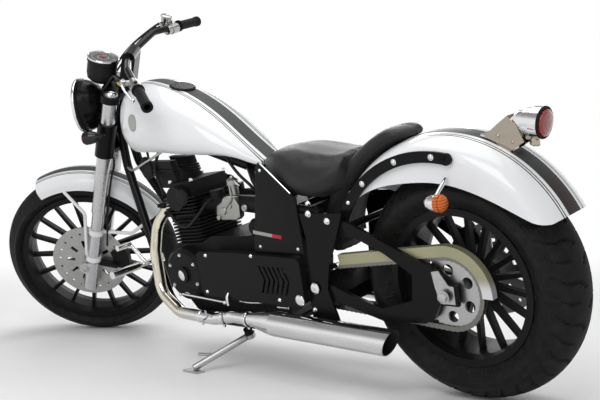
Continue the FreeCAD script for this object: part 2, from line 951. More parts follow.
def frame_backbone():
    """Head tube, backbone and the two seat rails with their cross tube."""
    head = rod("head_outer", fork_point(0, 0, size.head_tube_low), fork_point(0, 0, size.head_tube_high),
               size.head_tube_radius)
    route = [point(*place) for place in placed(
        backbone_shares, size.backbone_forward, 0, size.backbone_up,
        size.backbone_length, size.backbone_height)]
    spine = shaped("spine", bent_tube(route, size.backbone_radius, size.tube_bend))
    spread = size.gusset_inner - size.seat_rail_radius - size.seat_gap
    pieces = [head, spine]
    for side in (1, -1):
        rail = placed(seat_rail_shares, size.backbone_forward, spread, size.backbone_up,
                      size.backbone_length, size.backbone_height)
        pieces.append(shaped("seat_rail", bent_tube(
            sided(rail, side), size.seat_rail_radius, size.tube_bend)))
    x, _, z = rail_cross_place()
    pieces.append(rod("rail_cross", point(x, -spread, z), point(x, spread, z), 0.8 * size.seat_rail_radius))
    solid = fuse("backbone_fused", pieces)
    over = float(size.overrun)
    bore = rod("head_bore", fork_point(0, 0, size.head_tube_low - over),
               fork_point(0, 0, size.head_tube_high + over), size.stem_radius + 0.2 * size.seat_gap)
    return cut("frame_backbone", solid, bore)


backbone_shares = [(1.0, 0, 0.99), (0.70, 0, 0.70), (0.36, 0, 0.36)]
seat_rail_shares = [(0.40, 0.0, 0.40), (0.31, 0.55, 0.27), (0.22, 1.0, 0.13), (0.10, 1.0, 0.04), (0.0, 1.0, 0.0)]
cradle_shares = [
    (0.975, 0.14, 1.005), (0.960, 0.21, 0.812), (0.830, 0.62, 0.386), (0.742, 0.86, 0.07), (0.655, 1.0, 0.0), (0.0, 1.0, 0.0)]
gusset_shares = [
    (0.0, 0.99), (0.77, 0.98), (0.70, 0.79), (0.72, 0.66), (0.775, 0.53), (0.79, 0.36), (0.79, 0.10),
    (0.74, 0.0), (0.36, 0.0), (0.30, 0.12), (0.44, 0.40), (0.34, 0.62), (0.16, 0.80)]


def frame_cradle(side):
    """Downtube and lower rail with the gusset plate that carries the swingarm pivot."""
    name = "frame_cradle_left" if side > 0 else "frame_cradle_right"
    route = placed(cradle_shares, size.frame_forward, size.rail_half_spread, size.rail_up,
                   size.frame_length, size.frame_height)
    tube = shaped("cradle_tube", bent_tube(sided(route, side), size.downtube_radius, size.tube_bend))
    edge = framed(gusset_shares, size.gusset_forward, size.gusset_up, size.gusset_length, size.gusset_height)
    low = side * size.gusset_inner
    web = shaped("gusset_plate", plate(edge, low, low + side * size.gusset_thick))
    pieces = [tube, web]
    if side > 0:
        pieces.append(stand_bracket())
    solid = fuse(name + "_fused", pieces)
    over = float(size.overrun)
    bore = rod("pivot_bore", point(size.pivot_forward, side * (size.gusset_inner - over), size.pivot_up),
               point(size.pivot_forward, side * (size.gusset_inner + size.gusset_thick + over),
                     size.pivot_up), 0.6 * size.pivot_radius + size.seat_gap)
    head = rod("head_room", fork_point(0, 0, size.head_tube_low - over), fork_point(0, 0, size.head_tube_high),
               size.head_tube_radius + size.seat_gap)
    return cut(name, solid, fuse(name + "_rooms", [bore, head]))


arm_shares = [
    (0.02, 0.10), (0.10, 0.02), (0.90, 0.06), (1.0, 0.14), (1.0, 0.26), (0.90, 0.33), (0.26, 0.30),
    (0.26, 0.50), (0.74, 0.82), (0.75, 0.875), (0.70, 0.93), (0.16, 0.58), (0.03, 0.52)]


def swingarm():
    """Triangulated arms each side, pivot tube, cross tube, axle plates and the rear axle."""
    body = new_body("swingarm")
    start = -size.arm_rear
    side = new_sketch(body, "arm_side", "XZ_Plane")
    outline(side, framed(arm_shares, start, size.arm_low, size.arm_length, size.arm_height))
    pad(body, side, 2 * (size.arm_inner + size.arm_width), symmetric=True)
    gap = new_sketch(body, "arm_gap", "XZ_Plane")
    wide = size.arm_length + 2 * size.arm_rear
    outline(gap, [(-wide, 0), (wide, 0), (wide, 2 * size.backbone_up), (-wide, 2 * size.backbone_up)])
    pocket(body, gap, 2 * size.arm_inner)
    tube = new_sketch(body, "pivot_tube", "XZ_Plane")
    ring(tube, size.pivot_forward, size.pivot_up, size.pivot_radius)
    pad(body, tube, 2 * (size.arm_inner + size.arm_width), symmetric=True)
    pin_sketch = new_sketch(body, "pivot_pin", "XZ_Plane")
    ring(pin_sketch, size.pivot_forward, size.pivot_up, 0.6 * size.pivot_radius)
    pad(body, pin_sketch, 2 * (size.gusset_inner + 1.6 * size.gusset_thick), symmetric=True)
    cross = new_sketch(body, "arm_cross", "XZ_Plane")
    ring(cross, start + 0.71 * size.arm_length, size.arm_low + 0.86 * size.arm_height,
         0.5 * size.pivot_radius)
    pad(body, cross, 2 * (size.arm_inner + size.arm_width), symmetric=True)
    axle = new_sketch(body, "rear_axle", "XZ_Plane")
    ring(axle, 0, rear_radius, size.axle_radius)
    pad(body, axle, 2 * (size.arm_inner + 2.2 * size.arm_width), symmetric=True)
    return body


# Engine, in a frame with its zero at the crank and its Z axis along the cylinders

engine_place = FreeCAD.Placement(
    point(size.crank_forward, 0, size.crank_up), FreeCAD.Rotation(left, float(size.cylinder_tilt)))
case_shares = [
    (0.996, 0.704), (0.979, 0.935), (0.694, 0.935), (0.606, 1.0), (0.26, 0.98), (0.033, 0.87),
    (0.0, 0.54), (0.069, 0.083), (0.112, 0.0), (0.878, 0.126), (0.982, 0.378)]


def crankcase():
    """Crankcase with its deck, gearbox, mounting rods and the drive sprocket that carries the chain."""
    body = new_body("crankcase")
    side = new_sketch(body, "case_side", "XZ_Plane")
    corners = framed(case_shares, -size.case_rear, -size.case_depth, size.case_length, size.case_height)
    corners[1] = (corners[1][0], size.barrel_start)
    corners[2] = (corners[2][0], size.barrel_start)
    outline(side, corners)
    case = pad(body, side, 2 * size.case_half_width, symmetric=True)
    body.Tip = round_edges(body, case, size.case_round, parallel_to(left))
    mounts = new_sketch(body, "case_mounts", "XZ_Plane")
    for ahead in (size.rear_mount_forward, size.front_mount_forward):
        place = engine_place.inverse().multVec(point(ahead, 0, size.rail_up))
        ring(mounts, place.x, place.z, size.mount_radius)
    reach = size.rail_half_spread - size.downtube_radius - size.seat_gap
    pad(body, mounts, 2 * reach, symmetric=True)
    output = new_sketch(body, "drive_shaft", "XZ_Plane")
    place = engine_place.inverse().multVec(point(size.front_sprocket_forward, 0, size.front_sprocket_up))
    hub = pitch_radius(size.front_sprocket_teeth) - size.chain_pin_radius - size.seat_gap
    ring(output, place.x, place.z, 0.7 * hub)
    pad(body, output, size.chain_line + 2 * size.sprocket_half_thick, reverse=True)
    disc = new_sketch(body, "drive_disc", "XZ_Plane", size.sprocket_half_thick - size.chain_line)
    ring(disc, place.x, place.z, hub)
    pad(body, disc, 2 * size.sprocket_half_thick, reverse=True)
    return body


def finned(body, name, start, end, half_depth, half_width):
    """A block along the cylinder axis with evenly spaced fins round it."""
    core = new_sketch(body, name + "_core", "XY_Plane", start)
    outline(core, [(-half_depth, -half_width), (half_depth, -half_width),
                   (half_depth, half_width), (-half_depth, half_width)])
    pad(body, core, end - start)
    fin = new_sketch(body, name + "_fin", "XY_Plane", start + 0.6 * size.fin_pitch)
    deep = half_depth + size.fin_reach
    wide = half_width + size.fin_reach
    corner = size.fin_corner
    outline(fin, [
        (-deep, corner - wide), (corner - deep, -wide), (deep - corner, -wide), (deep, corner - wide),
        (deep, wide - corner), (deep - corner, wide), (corner - deep, wide), (-deep, wide - corner)])
    first = pad(body, fin, size.fin_thick)
    count = math.floor((end - start - 0.6 * size.fin_pitch - size.fin_thick) / size.fin_pitch) + 1
    along(body, first, (count - 1) * size.fin_pitch, count, "Z_Axis")


def cylinder_block():
    body = new_body("cylinder_block")
    finned(body, "barrel", size.barrel_start, size.barrel_end, size.barrel_half_depth, size.barrel_half_width)
    return body


def cylinder_head():
    """Finned head with ports, a rocker cover and round end covers."""
    body = new_body("cylinder_head")
    finned(body, "head", size.barrel_end, size.head_end, size.head_half_depth, size.head_half_width)
    cover = new_sketch(body, "rocker_cover", "XY_Plane", size.head_end)
    deep = 0.85 * size.head_half_depth
    wide = 0.9 * size.head_half_width
    outline(cover, [(-deep, -wide), (deep, -wide), (deep, wide), (-deep, wide)])
    pad(body, cover, size.rocker_height)
    ends = new_sketch(body, "end_covers", "XZ_Plane")
    ring(ends, 0, size.head_end - 0.2 * size.end_cover_radius, size.end_cover_radius)
    pad(body, ends, 2 * (size.head_half_width + size.fin_reach + 0.3 * size.end_cover_proud), symmetric=True)
    ports = new_sketch(body, "exhaust_ports", "YZ_Plane")
    intakes = new_sketch(body, "intake_ports", "YZ_Plane")
    for side in (1, -1):
        ring(ports, side * size.port_spread, size.port_up, 0.85 * size.header_flange_radius)
        ring(intakes, side * size.port_spread, size.port_up, size.carb_radius)
    pad(body, ports, size.port_reach)
    pad(body, intakes, size.port_reach, reverse=True)
    return body


def alternator_cover():
    body = new_body("alternator_cover")
    profile = new_sketch(body, "alternator_profile", "YZ_Plane")
    near = size.case_half_width
    far = near + size.alternator_proud
    tip = far + size.alternator_cap_proud
    outline(profile, [
        (near, 0), (tip, 0), (tip, size.alternator_cap_radius), (far, size.alternator_cap_radius),
        (far, 0.86 * size.alternator_radius), (near + 0.8 * size.alternator_proud, size.alternator_radius),
        (near, size.alternator_radius)])
    revolve(body, profile)
    return body


def clutch_cover():
    """Right engine cover: a round clutch bulge behind a smaller one over the crank."""
    body = new_body("clutch_cover")
    big = new_sketch(body, "clutch_bulge", "XZ_Plane", size.case_half_width)
    back = -size.clutch_back
    ring(big, back, 0, size.clutch_radius)
    pad(body, big, size.clutch_proud)
    web = new_sketch(body, "clutch_web", "XZ_Plane", size.case_half_width)
    outline(web, [(back, -0.95 * size.clutch_radius), (0, -0.7 * size.alternator_radius),
                  (0, 0.7 * size.alternator_radius), (back, 0.95 * size.clutch_radius)])
    pad(body, web, 0.6 * size.clutch_proud)
    small = new_sketch(body, "crank_bulge", "XZ_Plane", size.case_half_width)
    ring(small, 0, 0, 0.8 * size.alternator_radius)
    pad(body, small, 0.85 * size.clutch_proud)
    return body


cover_shares = [
    (0.03, 0.0), (0.98, 0.02), (1.0, 0.12), (1.0, 0.90), (0.97, 0.97), (0.62, 1.0), (0.03, 0.98), (0.0, 0.90),
    (0.0, 0.10)]
louvre_shares = [(0.0, 0.5), (0.9, 0.0), (1.3, 0.0), (0.4, 0.5), (1.3, 1.0), (0.9, 1.0)]


def lower_cover(side):
    """Shallow cover over the chain's front run, open inboard, with a row of bent louvres."""
    name = "lower_cover_left" if side > 0 else "lower_cover_right"
    body = new_body(name)
    start = size.gusset_inner + size.seat_gap
    face = new_sketch(body, name + "_face", "XZ_Plane", -side * start)
    outline(face, framed(cover_shares, size.cover_forward, size.cover_up,
                         size.cover_length, size.cover_height))
    pad(body, face, size.cover_proud, reverse=side > 0)
    hollow = new_sketch(body, name + "_hollow", "XZ_Plane", -side * start)
    outline(hollow, framed(
        cover_shares, size.cover_forward + size.cover_wall, size.cover_up + size.cover_wall,
        size.cover_length - 2 * size.cover_wall, size.cover_height - 2 * size.cover_wall))
    pocket(body, hollow, size.cover_proud - size.cover_wall, symmetric=False, reverse=side < 0)
    slot = new_sketch(body, name + "_louvre", "XZ_Plane", -side * start)
    outline(slot, framed(
        louvre_shares, size.cover_forward + 0.11 * size.cover_length,
        size.cover_up + 0.5 * (size.cover_height - size.louvre_height), size.louvre_bow,
        size.louvre_height))
    one = pocket(body, slot, 2 * size.cover_proud, symmetric=False, reverse=side < 0)
    along(body, one, (size.louvre_count - 1) * size.louvre_pitch, size.louvre_count, "X_Axis")
    bosses = new_sketch(body, name + "_bosses", "XZ_Plane", -side * (size.case_half_width + size.seat_gap))
    for x, z in framed([(0.9, 0.86), (0.93, 0.13), (0.52, 0.12)], size.cover_forward, size.cover_up,
                       size.cover_length, size.cover_height):
        ring(bosses, x, z, size.cover_boss_radius)
    reach = start + size.cover_proud - 0.5 * size.cover_wall - size.case_half_width - size.seat_gap
    pad(body, bosses, reach, reverse=side > 0)
    return body


def carburettors():
    """Two carburettors with float bowls and domes, joined by a rail, with ducts to the airbox."""
    pieces = []
    start = -size.port_reach - size.seat_gap
    back = start - size.carb_length
    box_face = engine_place.inverse().multVec(
        point(size.airbox_forward + size.airbox_length + 10 * size.seat_gap, 0, size.carb_up))
    middle = start - 0.5 * size.carb_length
    for side in (1, -1):
        y = side * size.port_spread
        pieces.append(rod("carb_barrel", point(start, y, size.port_up), point(back, y, size.port_up),
                          size.carb_radius))
        pieces.append(cone("carb_duct", point(back, y, size.port_up),
                           point(box_face.x, y, box_face.z), size.carb_radius, 1.25 * size.carb_radius))
        pieces.append(rod("carb_bowl", point(middle, y, size.port_up - size.carb_bowl_depth),
                          point(middle, y, size.port_up), size.carb_bowl_radius))
        pieces.append(rod("carb_dome", point(middle, y, size.port_up),
                          point(middle, y, size.port_up + size.carb_dome_height), size.carb_radius))
    pieces.append(rod("carb_rail", point(middle, -size.port_spread, size.port_up),
                      point(middle, size.port_spread, size.port_up), 0.4 * size.carb_radius))
    return fuse("carburettors", pieces)


def airbox():
    low = point(size.airbox_forward, -size.airbox_half_width, size.airbox_up)
    high = low + point(size.airbox_length, 2 * size.airbox_half_width, size.airbox_height)
    pieces = [block("airbox_box", low, high)]
    reach = size.gusset_inner
    for x, z in framed([(0.25, 0.25), (0.8, 0.25)], size.airbox_forward, size.airbox_up,
                       size.airbox_length, size.airbox_height):
        pieces.append(rod("panel_boss", point(x, -reach, z), point(x, reach, z), size.panel_boss_radius))
    return fuse("airbox", pieces)


panel_shares = [(0.0, 0.02), (0.98, 0.0), (1.0, 0.06), (0.74, 0.97), (0.70, 1.0), (0.62, 0.97), (0.02, 0.56)]


def side_panel(side):
    name = "side_panel_left" if side > 0 else "side_panel_right"
    body = new_body(name)
    start = size.gusset_inner + size.seat_gap
    face = new_sketch(body, name + "_face", "XZ_Plane", -side * start)
    outline(face, framed(panel_shares, size.panel_forward, size.panel_up,
                         size.panel_length, size.panel_height))
    pad(body, face, size.panel_thick, reverse=side > 0)
    return body


# Exhaust

header_shares = [
    (0.986, 0.395, 0.833), (0.965, 0.59, 0.58), (0.89, 0.77, 0.18), (0.69, 0.86, 0.015), (0.34, 0.93, 0.012)]


def muffler_place(side):
    return FreeCAD.Placement(
        point(size.muffler_start_forward, side * size.muffler_spread, size.muffler_start_up),
        FreeCAD.Rotation(left, -float(size.muffler_droop)))


def header(side):
    """Pipe from the head's port, with its flange, down and back to the muffler."""
    name = "header_left" if side > 0 else "header_right"
    gap = float(size.seat_gap)
    port = engine_place.multVec(point(size.port_reach + gap, side * size.port_spread, size.port_up))
    ahead = engine_place.Rotation.multVec(forward)
    joint = muffler_place(side)
    end = joint.multVec(point(gap, 0, 0))
    approach = joint.multVec(point(0.8 * size.header_bend, 0, 0))
    middle = placed(header_shares, size.muffler_start_forward, size.muffler_spread, size.header_low,
                    size.header_length, size.header_height)
    corners = [port, port + ahead * (0.5 * size.header_bend)] + sided(middle, side) + [approach, end]
    pipe = shaped(name + "_pipe", bent_tube(corners, size.header_radius, size.header_bend))
    flange = rod(name + "_flange", port, port + ahead * float(size.header_flange_thick),
                 size.header_flange_radius)
    return fuse(name, [pipe, flange])


def muffler(side):
    """Cone, straight can and slash-cut open tip, along its own X axis and rearward."""
    name = "muffler_left" if side > 0 else "muffler_right"
    body = new_body(name)
    profile = new_sketch(body, name + "_profile", "XZ_Plane")
    length = size.muffler_length
    inner = size.muffler_radius - size.muffler_wall
    mouth = length - size.muffler_bore_depth
    outline(profile, [
        (0, 0), (0, size.header_radius), (-size.muffler_cone, size.muffler_radius),
        (-length, size.muffler_radius), (-length, inner), (-mouth, inner), (-mouth, 0)])
    revolve(body, profile)
    slash = new_sketch(body, name + "_slash", "XZ_Plane")
    wide = 1.2 * size.muffler_radius
    outline(slash, [(-length - size.muffler_slash, wide), (-length, wide),
                    (size.muffler_slash - length, -wide), (-length - size.muffler_slash, -wide)])
    pocket(body, slash, 4 * size.muffler_radius)
    return body


# Tank, seats and fenders

tank_section_shares = [(0.80, 0.0), (1.0, 0.28), (0.97, 0.52), (0.80, 0.78), (0.45, 0.95)]
tank_station_shares = [
    (1.0, 0.28, 0.50, 0.82), (0.942, 0.66, 0.31, 0.936), (0.843, 0.906, 0.23, 1.0),
    (0.678, 1.0, 0.22, 0.954), (0.463, 0.94, 0.185, 0.78), (0.248, 0.74, 0.15, 0.486),
    (0.099, 0.50, 0.07, 0.227), (0.003, 0.30, 0.007, 0.071)]
seat_section_shares = [(0.66, 0.0), (1.0, 0.34), (0.95, 0.70), (0.66, 0.94), (0.30, 0.98)]
seat_station_shares = [
    (1.0, 0.32, 0.49, 0.80), (0.838, 0.67, 0.29, 0.96), (0.629, 0.92, 0.13, 1.0),
    (0.389, 1.0, 0.045, 0.93), (0.18, 0.97, 0.08, 0.86), (0.0, 0.70, 0.32, 0.90)]


def domed_section(shares, x, half_width, low, high):
    """Closed outline across the bike: a flat base under a smooth dome."""
    rise = high - low
    right_side = [point(x, -half_width * across, low + rise * up) for across, up in shares]
    left_side = [point(x, half_width * across, low + rise * up) for across, up in reversed(shares)]
    dome = Part.BSplineCurve()
    dome.interpolate(right_side + [point(x, 0, high)] + left_side)
    base = Part.LineSegment(left_side[-1], right_side[0])
    return Part.Wire([dome.toShape(), base.toShape()])


def domed_loft(stations, shares, start, length, half_width, low, height):
    return loft([
        domed_section(shares, float(start + length * along_share), float(half_width * wide_share),
                      float(low + height * low_share), float(low + height * high_share))
        for along_share, wide_share, low_share, high_share in stations])


def cap_place():
    return FreeCAD.Placement(
        point(size.cap_forward, 0, size.cap_up), FreeCAD.Rotation(left, -float(size.cap_tilt)))


def fuel_tank():
    """Teardrop tank, with the tunnel that straddles the backbone and the recess for its cap."""
    skin = shaped("tank_skin", domed_loft(
        tank_station_shares, tank_section_shares, size.tank_forward, size.tank_length,
        size.tank_half_width, size.tank_up, size.tank_height))
    route = [point(*place) for place in placed(
        backbone_shares, size.backbone_forward, 0, size.backbone_up,
        size.backbone_length, size.backbone_height)]
    clear = size.backbone_radius + size.seat_gap
    tunnel = bent_tube(route, clear, size.tube_bend)
    high = [(place.x, place.z) for place in route]
    low = [(place.x, float(place.z - size.backbone_height)) for place in reversed(route)]
    slot = plate(high + low, -clear, clear)
    hollow = shaped("tank_tunnel", tunnel.fuse(slot))
    place = cap_place()
    recess = rod("tank_recess", place.multVec(point(0, 0, -size.cap_sunk)),
                 place.multVec(point(0, 0, size.overrun)), size.cap_radius + size.seat_gap)
    return cut("fuel_tank", skin, fuse("tank_cuts", [hollow, recess]))


def fuel_cap():
    body = new_body("fuel_cap")
    profile = new_sketch(body, "cap_profile", "XZ_Plane")
    low = size.seat_gap - size.cap_sunk
    top = size.cap_height - size.cap_sunk
    outline(profile, [(0, low), (size.cap_radius, low), (size.cap_radius, 0.6 * top),
                      (0.9 * size.cap_radius, top), (0, top)])
    revolve(body, profile, "V_Axis")
    return body


def rider_seat():
    """Bucket seat with the feet that stand on the frame's cross tube."""
    cushion = shaped("seat_cushion", domed_loft(
        seat_station_shares, seat_section_shares, size.seat_forward, size.seat_length,
        size.seat_half_width, size.seat_up, size.seat_height))
    x, _, z = rail_cross_place()
    pieces = [cushion]
    for side in (1, -1):
        y = 0.4 * side * size.seat_half_width
        pieces.append(rod("seat_foot", point(x, y, z + 0.8 * size.seat_rail_radius + size.seat_gap),
                          point(x, y, size.seat_up + 0.4 * size.seat_height), size.seat_rail_radius))
    return fuse("rider_seat", pieces)


def fender_centre():
    return point(size.fender_forward, 0, size.fender_up)


def pillion_pad():
    """Curved pad that lies on the fender's crown behind the seat."""
    centre = fender_centre()
    low = size.fender_radius + size.seat_gap
    first = math.degrees(math.acos((size.seat_forward - size.seat_gap - size.fender_forward) / low))
    cushion = sector(centre, low, low + size.pad_thick, first, float(size.pad_end_angle),
                     -size.pad_half_width, size.pad_half_width)
    room = Part.makeBox(float(size.seat_length), float(2 * size.seat_half_width), float(size.fender_radius),
                        point(size.seat_forward - size.seat_gap, -size.seat_half_width, size.fender_up))
    return shaped("pillion_pad", cushion.cut(room))


crown_shares = [0.0, 0.125, 0.25, 0.375, 0.5, 0.625, 0.75, 0.875, 1.0]


def fender_shell(radius, half_width, crown, depth, sheet, first, last):
    """Thin fender section with straight sides and an elliptic crown, turned about its Y axis."""
    def section(wide, top):
        shoulder = top - crown
        places = []
        for share in crown_shares:
            angle = math.pi / 2 * share
            places.append(point(0, wide * math.cos(angle), shoulder + crown * math.sin(angle)))
        mirror = [point(0, -place.y, place.z) for place in reversed(places[:-1])]
        curve = Part.BSplineCurve()
        curve.interpolate(places + mirror)
        return curve.toShape(), places[0], mirror[-1]

    top_curve, top_left, top_right = section(float(half_width), float(radius))
    low_curve, low_left, low_right = section(float(half_width - sheet), float(radius - sheet))
    low = float(radius - depth)
    foot_left = point(0, top_left.y, low)
    heel_left = point(0, low_left.y, low)
    foot_right = point(0, top_right.y, low)
    heel_right = point(0, low_right.y, low)
    edges = [
        top_curve, Part.LineSegment(top_right, foot_right).toShape(),
        Part.LineSegment(foot_right, heel_right).toShape(), Part.LineSegment(heel_right, low_right).toShape(),
        low_curve, Part.LineSegment(low_left, heel_left).toShape(),
        Part.LineSegment(heel_left, foot_left).toShape(), Part.LineSegment(foot_left, top_left).toShape()]
    face = Part.Face(Part.Wire(Part.sortEdges(edges)[0]))
    face.rotate(zero, left, 90 - first)
    return face.revolve(zero, left, first - last)


def rear_fender():
    """Deep rear fender whose skirts follow a swept lower edge."""
    shell = fender_shell(
        size.fender_radius, size.fender_half_width, size.fender_crown, size.fender_depth,
        size.fender_sheet, float(size.fender_start_angle), float(size.fender_end_angle))
    reach = float(size.fender_radius)
    wide = float(size.fender_half_width + size.overrun)
    lower = Part.BSplineCurve()
    lower.interpolate([point(reach * x, -wide, reach * z) for x, z in fender_edge_shares])
    over = [point(reach * x, -wide, reach * z) for x, z in fender_over_shares]
    ends = [lower.EndPoint] + over + [lower.StartPoint]
    edges = [lower.toShape()] + [
        Part.LineSegment(here, there).toShape() for here, there in zip(ends, ends[1:])]
    side = Part.Face(Part.Wire(edges)).extrude(point(0, 2 * wide, 0))
    fender = shell.common(side)
    fender.translate(fender_centre())
    return shaped("rear_fender", fender.Solids[0])


fender_edge_shares = [
    (0.75, 0.46), (0.60, 0.585), (0.42, 0.655), (0.242, 0.683), (0.08, 0.694), (-0.089, 0.688), (-0.387, 0.610),
    (-0.663, 0.484), (-0.832, 0.420), (-0.97, 0.44)]
fender_over_shares = [(-1.3, 0.5), (-0.9, 1.2), (0.1, 1.4), (1.2, 0.9), (1.2, 0.6)]


def fender_strut(side):
    """Arched bar along the fender's side, bolted to the fender and to the gusset plate."""
    name = "fender_strut_left" if side > 0 else "fender_strut_right"
    centre = fender_centre()
    near = size.fender_half_width + 2 * size.seat_gap + size.guard_thick
    low = side * near
    high = side * (near + size.strut_plate)
    bar = shaped(name + "_bar", sector(
        centre, size.strut_radius - size.strut_half_height, size.strut_radius + size.strut_half_height,
        float(size.strut_start_angle), float(size.strut_end_angle), low, high))
    pieces = [bar]
    for share in strut_bolt_shares:
        angle = math.radians(size.strut_start_angle + share * (size.strut_end_angle - size.strut_start_angle))
        place = centre + around_y(float(size.strut_radius), angle)
        inner = side * (size.fender_half_width + size.seat_gap)
        if share == strut_bolt_shares[0]:
            inner = side * (size.gusset_inner - size.seat_gap)
        pieces.append(rod(name + "_boss", point(place.x, inner, place.z),
                          point(place.x, 0.5 * (low + high), place.z), size.strut_boss_radius))
    return fuse(name, pieces)


strut_bolt_shares = [0.03, 0.42, 0.70, 0.96]


# Lamps

bullet_shares = [(0.0, 1.0), (0.30, 0.97), (0.55, 0.86), (0.74, 0.70), (0.88, 0.48), (0.97, 0.22), (1.0, 0.0)]
lens_shares = [(1.0, 0.96), (0.55, 0.93), (0.25, 0.72), (0.06, 0.38), (0.0, 0.0)]


def bullet(body, name, radius, length, recess, ahead):
    """Rounded lamp can along its own X axis, open at its lens end where X is zero."""
    profile = new_sketch(body, name, "XZ_Plane")
    corners = [(ahead * length * x, radius * z) for x, z in bullet_shares]
    inner = 0.92 * radius
    outline(profile, corners + [(ahead * recess, 0), (ahead * recess, inner), (0, inner)])
    return revolve(body, profile)


def lens(body, name, radius, depth, start, ahead):
    """Domed lens seated in its can, bulging away from it."""
    profile = new_sketch(body, name, "XZ_Plane")
    seat = start * ahead
    corners = [(seat, 0), (seat, 0.9 * radius)]
    corners += [(-ahead * depth * (1 - x), radius * z * 0.92) for x, z in lens_shares]
    outline(profile, corners)
    return revolve(body, profile)


def tail_place():
    return FreeCAD.Placement(
        point(size.tail_forward - size.tail_length, 0, size.tail_up),
        FreeCAD.Rotation(left, -float(size.tail_tilt)))


def tail_lamp():
    """Bullet lamp on a bracket that stands on the fender's crown."""
    can = new_body("tail_can")
    bullet(can, "tail_profile", size.tail_radius, size.tail_length, size.lens_depth, 1)
    can.Placement = tail_place()
    centre = fender_centre()
    low = size.fender_radius + size.seat_gap
    foot = shaped("tail_foot", sector(
        centre, low, low + size.tail_foot_thick, float(size.tail_foot_start_angle),
        float(size.tail_foot_end_angle), -size.tail_bracket_half_width, size.tail_bracket_half_width))
    top = float(low + 0.5 * size.tail_foot_thick)
    first = centre + around_y(top, math.radians(size.tail_foot_start_angle + size.tail_tilt / 8))
    last = centre + around_y(top, math.radians(size.tail_foot_end_angle - size.tail_tilt / 8))
    crest = tail_place().multVec(point(0.62 * size.tail_length, 0, 0))
    back = tail_place().multVec(point(0.25 * size.tail_length, 0, 0))
    corners = [(first.x, first.z), (crest.x, crest.z), (back.x, back.z), (last.x, last.z)]
    half = 0.5 * size.tail_bracket_half_width
    pier = shaped("tail_pier", plate(corners, -half, half))
    hollow = new_body("tail_hollow")
    mouth = new_sketch(hollow, "tail_mouth", "YZ_Plane")
    ring(mouth, 0, 0, 0.92 * size.tail_radius)
    pad(hollow, mouth, size.lens_depth + size.seat_gap)
    hollow.Placement = tail_place()
    return cut("tail_lamp", fuse("tail_fused", [can, foot, pier]), hollow)


def tail_lens():
    body = new_body("tail_lens")
    lens(body, "tail_lens_profile", size.tail_radius - 2 * size.seat_gap, size.lens_depth,
         size.lens_depth - size.seat_gap, 1)
    return body


def signal(name, stalk_start, stalk_end, place, ahead):
    """Small bullet lamp with its lens, on a stalk."""
    can = new_body(name + "_can")
    bullet(can, name + "_profile", size.signal_radius, size.signal_length, 0.5 * size.lens_depth, ahead)
    front = new_body(name + "_lens")
    lens(front, name + "_lens_profile", size.signal_radius, size.lens_depth, 0.6 * size.lens_depth, ahead)
    can.Placement = place
    front.Placement = place
    stalk = rod(name + "_stalk", stalk_start, stalk_end, size.signal_stalk_radius)
    return fuse(name, [can, front, stalk])


def rear_signal(side):
    name = "rear_signal_left" if side > 0 else "rear_signal_right"
    centre = point(size.rear_signal_forward, side * size.rear_signal_spread, size.rear_signal_up)
    root_angle = math.radians(size.strut_end_angle)
    root = fender_centre() + around_y(float(size.strut_radius - size.fender_crown), root_angle)
    start = point(root.x, side * (size.fender_half_width + size.seat_gap + 0.55 * size.signal_stalk_radius),
                  root.z)
    place = FreeCAD.Placement(
        centre - point(0.5 * size.signal_length, 0, 0), FreeCAD.Rotation())
    return signal(name, start, centre, place, 1)


def front_signal(side):
    """Front signal on the fork clamp, in the fork frame."""
    name = "front_signal_left" if side > 0 else "front_signal_right"
    turn = FreeCAD.Rotation(left, float(size.lamp_tilt))
    centre = point(size.front_signal_ahead, side * size.front_signal_spread, size.front_signal_up)
    start = point(size.fork_offset, side * (
        size.fork_spread + size.tube_radius + size.clamp_wall + size.seat_gap
        + 0.55 * size.signal_stalk_radius), size.front_signal_up)
    place = FreeCAD.Placement(centre + turn.multVec(point(0.5 * size.signal_length, 0, 0)), turn)
    return signal(name, start, centre, place, -1)


def headlight():
    """Headlight can with its glass and the post that stands on the lower yoke, in the fork frame."""
    turn = FreeCAD.Rotation(left, float(size.lamp_tilt))
    place = FreeCAD.Placement(point(size.lamp_ahead, 0, size.lamp_up), turn)
    can = new_body("lamp_can")
    bullet(can, "lamp_profile", size.lamp_radius, size.lamp_depth, size.lens_depth, -1)
    glass = new_body("lamp_glass")
    lens(glass, "lamp_glass_profile", size.lamp_radius, 0.7 * size.lens_depth, 1.05 * size.lens_depth, -1)
    rim = new_body("lamp_rim")
    band = new_sketch(rim, "lamp_rim_profile", "XZ_Plane")
    outline(band, [
        (-size.lens_depth, 0.9 * size.lamp_radius), (0.4 * size.lens_depth, 0.9 * size.lamp_radius),
        (0.4 * size.lens_depth, size.lamp_radius), (0, 1.04 * size.lamp_radius),
        (-size.lens_depth, 1.04 * size.lamp_radius)])
    revolve(rim, band)
    for piece in (can, glass, rim):
        piece.Placement = place
    foot = size.lower_yoke_up + size.yoke_plate + size.seat_gap
    ahead = 0.4 * size.lamp_ahead
    post = rod("lamp_post", point(ahead, 0, foot), point(ahead, 0, size.lamp_up),
               0.12 * size.lamp_radius)
    return fuse("headlight", [can, glass, rim, post])


def instrument():
    """Round gauge in its can, on a foot on the top yoke, in the fork frame."""
    body = new_body("instrument")
    profile = new_sketch(body, "gauge_profile", "XZ_Plane")
    radius = size.gauge_radius
    top = size.gauge_height
    outline(profile, [
        (0, 0), (0.62 * radius, 0), (0.88 * radius, 0.14 * top), (0.95 * radius, 0.35 * top),
        (0.95 * radius, 0.84 * top), (radius, 0.86 * top), (radius, top), (0.88 * radius, top),
        (0.86 * radius, 0.92 * top), (0, 0.92 * top)])
    revolve(body, profile, "V_Axis")
    foot = new_sketch(body, "gauge_foot", "XY_Plane", size.seat_gap - size.riser_gap)
    ring(foot, -0.52 * radius, 0, 0.2 * radius)
    pad(body, foot, size.riser_gap)
    return body


